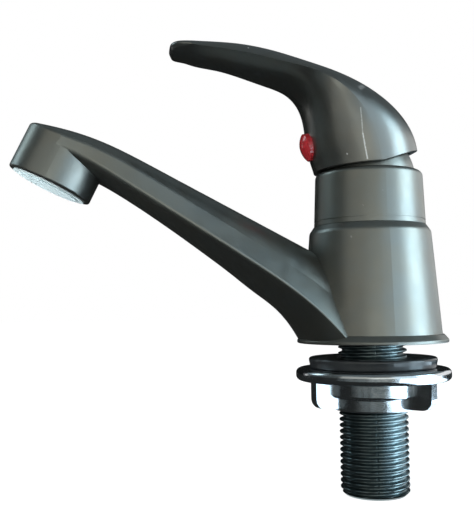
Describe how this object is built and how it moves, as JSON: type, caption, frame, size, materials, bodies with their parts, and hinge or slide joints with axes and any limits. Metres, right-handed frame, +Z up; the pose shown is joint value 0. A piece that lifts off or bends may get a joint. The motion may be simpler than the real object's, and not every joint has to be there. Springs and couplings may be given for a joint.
{
  "type": "basin tap",
  "caption": "Basin tap with a curved lever, a sloping spout with an aerator, and a threaded shank with washer and wing nut.",
  "frame": {"origin": "centre of the body flange's underside, where the tap stands on the basin's deck, on the shank's axis", "axes": "+Z up along the shank; the spout and the lever point to -Y; +X is to the right of someone who looks along +Y"},
  "size_m": [0.0464, 0.1303, 0.1356],
  "materials": {
    "grey_paint": "satin gunmetal paint on cast zinc",
    "shank_metal": "dark blue-black plated zinc",
    "chrome": "bright plating",
    "brass": "turned",
    "steel": "machined",
    "black_rubber": "matt, moulded",
    "cartridge_plastic": "moulded",
    "ceramic": null,
    "red_plastic": "glossy dome",
    "pale_plastic": "moulded mesh"
  },
  "bodies": {
    "body": {"tap_body": "grey_paint", "threaded_shank": "shank_metal", "shank_seal": "black_rubber", "collar": "grey_paint", "dome_ring": "grey_paint", "cartridge_retaining_nut": "brass", "cartridge_housing": "cartridge_plastic", "cartridge_base": "cartridge_plastic", "inlet_seal": "black_rubber", "base_seal": "black_rubber", "fixed_disc": "ceramic", "aerator_housing": "pale_plastic", "aerator_grille": "pale_plastic", "aerator_washer": "black_rubber"},
    "rotor": {"rotor": "cartridge_plastic", "rotor_seal": "black_rubber", "pivot_pin": "steel"},
    "lever": {"stem_lever": "brass", "handle": "grey_paint", "grub_screw": "steel", "index_button": "red_plastic"},
    "disc": {"disc_carrier": "cartridge_plastic", "moving_disc": "ceramic"},
    "washer": {"rubber_washer": "black_rubber"},
    "nut": {"wing_nut": "chrome"}
  },
  "joints": [
    {"name": "handle_swivel", "type": "hinge", "parent": "body", "child": "rotor", "pos_m": [0, 0, 0.05], "axis": [0, 0, 1], "range_deg": [-45, 45]},
    {"name": "handle_tilt", "type": "hinge", "parent": "rotor", "child": "lever", "pos_m": [0, 0, 0.05], "axis": [-1, 0, 0], "range_deg": [0, 18]},
    {"name": "disc_slide", "type": "slide", "parent": "rotor", "child": "disc", "axis": [0, -1, 0], "range_m": [0, 0.0033]},
    {"name": "nut_travel", "type": "slide", "parent": "body", "child": "washer", "axis": [0, 0, 1], "range_m": [-0.02, 0.0035]},
    {"name": "nut_turn", "type": "hinge", "parent": "washer", "child": "nut", "pos_m": [0, 0, -0.0076], "axis": [0, 0, 1], "range_deg": [-3968, 694]}
  ],
  "couplings": [
    {"joint": "disc_slide", "follows": "handle_tilt", "m_per_rad": 0.0105},
    {"joint": "nut_travel", "follows": "nut_turn", "m_per_rad": 0.00028873}
  ]
}
